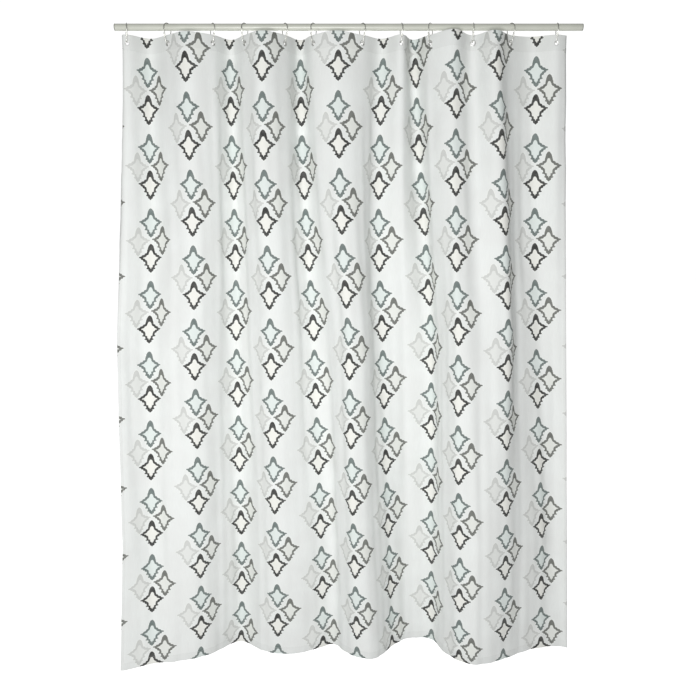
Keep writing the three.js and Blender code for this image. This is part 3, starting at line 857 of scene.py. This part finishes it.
def curtain():
    rows = panel_rows()
    flats = columns(0, CLOTH_WIDTH)
    depths = np.array([depth for depth, _ in rows])
    offsets = np.array([offset for _, offset in rows])
    points = HANG.at(flats[None, :], depths[:, None], offsets[:, None])
    obj = make_mesh(
        "printed_curtain",
        points.reshape(-1, 3),
        holed_faces(flats, depths),
        [CLOTH_FRONT, CLOTH_BACK],
    )
    flat_places = np.stack(np.broadcast_arrays(flats[None, :], depths[:, None]), axis=-1)
    set_flat(obj, flat_places.reshape(-1, 2))
    thicken(obj)
    return obj


def thicken(obj):
    """Gives a sheet its thickness, with the back material on its back."""
    thick = obj.modifiers.new("thickness", "SOLIDIFY")
    thick.thickness = CLOTH_THICKNESS
    thick.offset = 0
    thick.use_even_offset = False
    thick.material_offset = 1
    thick.material_offset_rim = 1
    apply_modifiers(obj)


def apply_modifiers(obj):
    depsgraph = bpy.context.evaluated_depsgraph_get()
    evaluated = obj.evaluated_get(depsgraph)
    mesh = bpy.data.meshes.new_from_object(evaluated, depsgraph=depsgraph)
    obj.modifiers.clear()
    old = obj.data
    obj.data = mesh
    bpy.data.meshes.remove(old)


def strip(name, flats, depths, offset, materials):
    """A strip of cloth behind the panel, from its columns and rows on the flat cloth."""
    flats, depths = flats[None, :], depths[:, None]
    points = HANG.at(flats, depths, np.full((1, 1), offset))
    faces = holed_faces(flats[0], depths[:, 0])
    obj = make_mesh(name, points.reshape(-1, 3), faces, materials)
    flat_places = np.stack(np.broadcast_arrays(flats, depths), axis=-1).reshape(-1, 2)
    set_flat(obj, flat_places)
    return obj


def side_hem(name, at_left):
    """The side of the cloth turned over to the back, from under the top hem to the bottom hem."""
    depths = np.arange(HEADER_DEPTH + 2 * MM, CLOTH_DROP - BOTTOM_HEM - 2 * MM, DOWN_STEP)
    flats = np.linspace(0.2 * MM, SIDE_HEM, 5)
    if not at_left:
        flats = CLOTH_WIDTH - flats
    obj = strip(name, flats, depths, HEM_FLAP, [CLOTH_BACK, CLOTH_BACK])
    if not at_left:
        obj.data.flip_normals()
    thicken(obj)
    return obj


def header_tape():
    flats = columns(2 * MM, CLOTH_WIDTH - 2 * MM)
    middle = TAPE_FRONT - TAPE_THICKNESS / 2
    obj = strip("stiffening_tape", flats, header_depths(), middle, [TAPE])
    thick = obj.modifiers.new("thickness", "SOLIDIFY")
    thick.thickness = TAPE_THICKNESS
    thick.offset = 0
    apply_modifiers(obj)
    return obj


def stitches(name, starts, ends, lift):
    """Sewn thread: one short rounded stitch from each start to its end on the flat cloth."""
    radius = 0.28 * MM
    sides = 6
    shares = [0.0, 0.12, 0.5, 0.88, 1.0]
    sizes = [0.35, 0.85, 1.0, 0.85, 0.35]
    places = np.array([mix(starts, ends, share) for share in shares])
    heights = np.array([-0.6, 0.3, 0.8, 0.3, -0.6])[:, None] * radius + lift
    centre = HANG.at(places[..., 0], places[..., 1], np.broadcast_to(heights, places.shape[:2]))
    along = centre[-1] - centre[0]
    along /= np.linalg.norm(along, axis=1, keepdims=True)
    front = HANG.read(HANG.front, places[2, :, 0], places[2, :, 1])
    aside = np.cross(along, front)
    points = []
    for k, size in enumerate(sizes):
        for s in range(sides):
            angle = 2 * math.pi * s / sides
            push = aside * math.cos(angle) + front * math.sin(angle)
            points.append(centre[k] + push * radius * size)
    points = np.array(points)
    count = len(starts)
    rings = len(shares)
    faces = []
    for n in range(count):
        def corner(k, s):
            return (k * sides + s % sides) * count + n

        for k in range(rings - 1):
            for s in range(sides):
                near = (corner(k, s), corner(k, s + 1))
                far = (corner(k + 1, s + 1), corner(k + 1, s))
                faces.append(near + far)
        faces.append(tuple(corner(0, s) for s in reversed(range(sides))))
        faces.append(tuple(corner(rings - 1, s) for s in range(sides)))
    return make_mesh(name, points.reshape(-1, 3), faces, [THREAD])


STITCH = 2.6 * MM
STITCH_PITCH = 3.4 * MM


def seam(name, start, end):
    """A straight seam of stitches between two places on the flat cloth."""
    start, end = np.array(start), np.array(end)
    length = np.linalg.norm(end - start)
    count = int(length / STITCH_PITCH)
    firsts = start + (end - start) * (np.arange(count) / count)[:, None]
    lasts = firsts + (end - start) / length * STITCH
    return stitches(name, firsts, lasts, CLOTH_THICKNESS / 2)


def seams():
    low = CLOTH_DROP - BOTTOM_HEM + 2 * MM
    inset = SIDE_HEM - 1.5 * MM
    right = CLOTH_WIDTH - inset
    top = HEADER_DEPTH - 1.5 * MM
    return [
        seam("top_hem_stitches", (3 * MM, top), (CLOTH_WIDTH - 3 * MM, top)),
        seam("bottom_hem_stitches", (3 * MM, low), (CLOTH_WIDTH - 3 * MM, low)),
        seam("left_hem_stitches", (inset, top + 4 * MM), (inset, low - 2 * MM)),
        seam("right_hem_stitches", (right, top + 4 * MM), (right, low - 2 * MM)),
    ]


# ---------------------------------------------------------------- eyelets, washers and rings


def at_eyelet(obj, place):
    """Moves a piece made about the origin, with +Y to the cloth's front, to its eyelet."""
    x, forward, yaw = place
    move = Matrix.Translation((x, -forward, EYELET_Z)) @ Matrix.Rotation(math.pi - yaw, 4, "Z")
    return apply_matrix(obj, move)


def eyelet(name, place):
    """A rolled flange on the front, a barrel, and its end spread over the washer behind."""
    flange_back = 0.5 * MM
    lip_front = WASHER_FRONT - WASHER_THICKNESS - FIT_GAP
    lip_back = lip_front - 0.7 * MM
    crown = flange_back + 1.5 * MM
    middle = (EYELET_BORE + EYELET_FLANGE) / 2
    corners = [
        (EYELET_BORE, lip_back + 0.5 * MM),
        (EYELET_LIP - 0.3 * MM, lip_back),
        (EYELET_LIP, lip_front),
        (EYELET_BARREL, lip_front),
        (EYELET_BARREL, flange_back),
        (EYELET_FLANGE, flange_back),
        (EYELET_FLANGE - 0.3 * MM, flange_back + 0.9 * MM),
        (middle, crown),
        (EYELET_BORE + 0.2 * MM, flange_back + 0.8 * MM),
    ]
    obj = lathe(name, rounded(corners, 0.6 * MM), 40, EYELET_METAL)
    return at_eyelet(obj, place)


def washer(name, place):
    back = WASHER_FRONT - WASHER_THICKNESS
    corners = [
        (WASHER_INNER, back),
        (WASHER_OUTER, back),
        (WASHER_OUTER, WASHER_FRONT),
        (WASHER_INNER, WASHER_FRONT),
    ]
    obj = lathe(name, rounded(corners, 0.25 * MM), 40, EYELET_METAL)
    return at_eyelet(obj, place)


BOTTOM_STEPS = 6
TOP_STEPS = 10
RING_STEPS = 150
WIRE_SIDES = 14

# The wire's rounded end: places along it and its radius there, as shares of the wire's radius.
WIRE_END = [(0.0, 0.05), (0.35, 0.6), (0.75, 0.9)]


def ring_line():
    """The middle line of one turn of sprung wire, as (across, out, up) points."""
    upper = ROD_RADIUS + FIT_GAP + WIRE - TOP_BEND
    lower = EYELET_Z + RING_ABOVE_EYELET + BOTTOM_BEND
    lean = math.asin((TOP_BEND - BOTTOM_BEND) / (upper - lower))
    side_height = (upper - lower) * math.cos(lean) ** 2
    side_foot = lower - BOTTOM_BEND * math.sin(lean)
    outline = []

    def straight(side, share):
        out = mix(BOTTOM_BEND, TOP_BEND, share) * math.cos(lean)
        outline.append((side * out, side_foot + side_height * share))

    def bend(centre, radius, start, turn, steps):
        for k in range(steps + 1):
            angle = start + turn * k / steps
            outline.append((radius * math.cos(angle), centre + radius * math.sin(angle)))

    straight(1, LAP_TO)
    straight(1, LAP_FROM)
    bend(lower, BOTTOM_BEND, -lean, 2 * lean - math.pi, BOTTOM_STEPS)
    straight(-1, 0.5)
    bend(upper, TOP_BEND, math.pi + lean, -2 * lean - math.pi, TOP_STEPS)
    straight(1, LAP_TO)
    straight(1, LAP_FROM)
    last = len(outline) - 1
    points = [
        (LAP_APART * (k / last - 0.5), -out, up) for k, (out, up) in enumerate(outline)
    ]
    return smooth_line(points, RING_STEPS)


def ring(name, place):
    """A round wire swept along the ring's line, with rounded ends."""
    line = ring_line()
    sides = WIRE_SIDES
    along = np.gradient(line, axis=0)
    along /= np.linalg.norm(along, axis=1, keepdims=True)
    aside = np.tile([1.0, 0, 0], (len(line), 1))
    aside -= along * (aside * along).sum(1)[:, None]
    aside /= np.linalg.norm(aside, axis=1, keepdims=True)
    over = np.cross(along, aside)
    centres = [line[0] - along[0] * WIRE * (1 - reach) for reach, _ in WIRE_END]
    centres += list(line)
    centres += [line[-1] + along[-1] * WIRE * (1 - reach) for reach, _ in reversed(WIRE_END)]
    end_sizes = [size for _, size in WIRE_END]
    sizes = end_sizes + [1.0] * len(line) + end_sizes[::-1]
    frames = [0] * len(WIRE_END) + list(range(len(line))) + [len(line) - 1] * len(WIRE_END)
    points = []
    for centre, size, k in zip(centres, sizes, frames):
        for s in range(sides):
            angle = 2 * math.pi * s / sides
            push = aside[k] * math.cos(angle) + over[k] * math.sin(angle)
            points.append(centre + push * WIRE * size)
    faces = []
    for r in range(len(centres) - 1):
        for s in range(sides):
            a = r * sides + s
            b = r * sides + (s + 1) % sides
            faces.append((a, b, b + sides, a + sides))
    faces.append(tuple(range(sides))[::-1])
    last = (len(centres) - 1) * sides
    faces.append(tuple(range(last, last + sides)))
    obj = make_mesh(name, points, faces, [RING_METAL])
    x, forward, yaw = place
    turned = max(-MOST_YAW, min(MOST_YAW, yaw))
    swing = math.atan2(forward, -EYELET_Z)
    hung = Matrix.Rotation(-swing, 4, "X") @ Matrix.Rotation(-turned, 4, "Z")
    return apply_matrix(obj, Matrix.Translation((x, 0, 0)) @ hung)


# ---------------------------------------------------------------- rod


ROD_WALL = 1 * MM
PLUG_LENGTH = 16 * MM
NEAR_AXIS = 0.01 * MM


def rod():
    """A painted tube whose wall is rolled in a little at its ends."""
    end = CAP_FLANGE + FIT_GAP
    inner = ROD_RADIUS - ROD_WALL
    corners = [
        (inner, end),
        (ROD_RADIUS, end),
        (ROD_RADIUS, ROD_END - end),
        (inner, ROD_END - end),
    ]
    obj = lathe("painted_rod", rounded(corners, 0.35 * MM), 96, ROD_PAINT)
    return along_rod(obj)


def end_cap(name, at_left):
    """A moulded cap with a rounded rim and a plug that grips inside the tube."""
    plug = ROD_RADIUS - ROD_WALL - FIT_GAP
    corners = [
        (NEAR_AXIS, 0.0),
        (ROD_RADIUS, 0.0),
        (ROD_RADIUS, CAP_FLANGE),
        (plug, CAP_FLANGE),
        (plug, CAP_FLANGE + PLUG_LENGTH),
        (NEAR_AXIS, CAP_FLANGE + PLUG_LENGTH),
    ]
    profile = corners[:1] + rounded(corners, 0.5 * MM)[5:-5] + corners[-1:]
    if not at_left:
        profile = [(radius, ROD_END - along) for radius, along in profile][::-1]
    obj = lathe(name, profile, 64, CAP_PLASTIC)
    return along_rod(obj)


def along_rod(obj):
    return apply_matrix(obj, Matrix.Rotation(-math.pi / 2, 4, "Z"))


# ---------------------------------------------------------------- assembly


def follow_draw(obj):
    """Cloth and thread ride on the curtain's body."""
    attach(obj, "curtain")
    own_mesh(obj)


def build():
    painted = rod()
    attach(painted, "rod")
    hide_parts("rod_tube")
    for name, node, at_left in (
        ("rod_cap_left", "left_end_cap", True),
        ("rod_cap_right", "right_end_cap", False),
    ):
        cap = end_cap(name, at_left)
        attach(cap, "rod")
        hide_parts(node)
    for i, place in enumerate(EYELETS):
        number = f"{i + 1:02d}"
        body = "curtain" if i == 0 else "hanger_" + number
        pieces = (
            (ring, "wire_ring_", "ring_", "ring_wire"),
            (eyelet, "metal_eyelet_", "eyelet_", "eyelet_metal"),
            (washer, "metal_washer_", "washer_", "eyelet_metal"),
        )
        for maker, name, node, slot in pieces:
            piece = maker(name + number, place)
            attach(piece, body)
            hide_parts(node + number)
    cloth = curtain()
    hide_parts("curtain_panel")
    tape = header_tape()
    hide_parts("header_tape")
    hems = [side_hem("left_side_hem", True), side_hem("right_side_hem", False)]
    sewn = seams()
    for piece in [cloth, tape] + hems + sewn:
        follow_draw(piece)


# ---------------------------------------------------------------- studio

FLOOR_BELOW = 0.08
FLOOR_REACH = 30.0
AMBIENT = 0.34
KEY_WATTS = 54
BACK_WATTS = 34
FLOOR_GLOW = 0.72
WHITE_BEHIND = 1.05

CAMERA_LEFT = 2 * MM
CAMERA_AWAY = 2.287
CAMERA_BELOW = 0.566
CAMERA_DOWN = 9.76
SENSOR_MM = 36
LENS_MM = 37.86


def camera():
    data = bpy.data.cameras.new("camera")
    data.sensor_width = SENSOR_MM
    data.lens = LENS_MM
    data.dof.use_dof = False
    obj = bpy.data.objects.new("camera", data)
    obj.location = (ROD_END / 2 - CAMERA_LEFT, -CAMERA_AWAY, -CAMERA_BELOW)
    obj.rotation_euler = (math.radians(90 - CAMERA_DOWN), 0, 0)
    bpy.context.scene.collection.objects.link(obj)
    bpy.context.scene.camera = obj


def area_light(name, place, target, size, power):
    data = bpy.data.lights.new(name, "AREA")
    data.shape = "RECTANGLE"
    data.size, data.size_y = size
    data.energy = power
    obj = bpy.data.objects.new(name, data)
    obj.location = place
    direction = Vector(target) - Vector(place)
    obj.rotation_euler = direction.to_track_quat("-Z", "Y").to_euler()
    bpy.context.scene.collection.objects.link(obj)


def studio_floor():
    """A wide pale floor that glows a little, so that it runs into the white behind it."""
    material, graph, shader = new_material("studio_floor")
    place = graph.node("ShaderNodeTexCoord").outputs["Object"]
    cloud = graph.ramp(graph.noise(place, 3.0), 0.3, 0.7)
    tone = graph.blend(cloud, linear("#f4f4f4"), linear("#f8f8f8"))
    graph.put(shader.inputs["Base Color"], tone)
    shader.inputs["Roughness"].default_value = 0.9
    shader.inputs["Specular IOR Level"].default_value = 0.1
    shader.inputs["Emission Color"].default_value = linear("#ffffff")
    shader.inputs["Emission Strength"].default_value = FLOOR_GLOW
    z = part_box("curtain_panel")[0].z - FLOOR_BELOW
    sides = ((-1, -1), (1, -1), (1, 1), (-1, 1))
    corners = [(x * FLOOR_REACH, y * FLOOR_REACH, z) for x, y in sides]
    floor = make_mesh("studio_floor", corners, [(0, 1, 2, 3)], [material])
    floor.visible_diffuse = False


def studio_world():
    """Soft even light from all round, and plain white behind the curtain."""
    world = bpy.data.worlds.new("studio")
    world.use_nodes = True
    bpy.context.scene.world = world
    graph = Graph(world.node_tree)
    seen = graph.node("ShaderNodeLightPath").outputs["Is Camera Ray"]
    background = world.node_tree.nodes["Background"]
    background.inputs[0].default_value = linear("#ffffff")
    strength = graph.math("MULTIPLY_ADD", seen, WHITE_BEHIND - AMBIENT, AMBIENT)
    graph.put(background.inputs[1], strength)


def studio():
    studio_floor()
    studio_world()
    middle = ROD_END / 2
    area_light("key", (middle - 0.45, -2.6, -0.95), (middle - 0.1, 0, -1.0), (1.2, 1.2), KEY_WATTS)
    area_light("back", (middle, 2.8, -0.8), (middle, 0, -1.0), (2.0, 2.0), BACK_WATTS)
    bpy.context.scene.view_settings.view_transform = "Standard"


camera()
build()
studio()
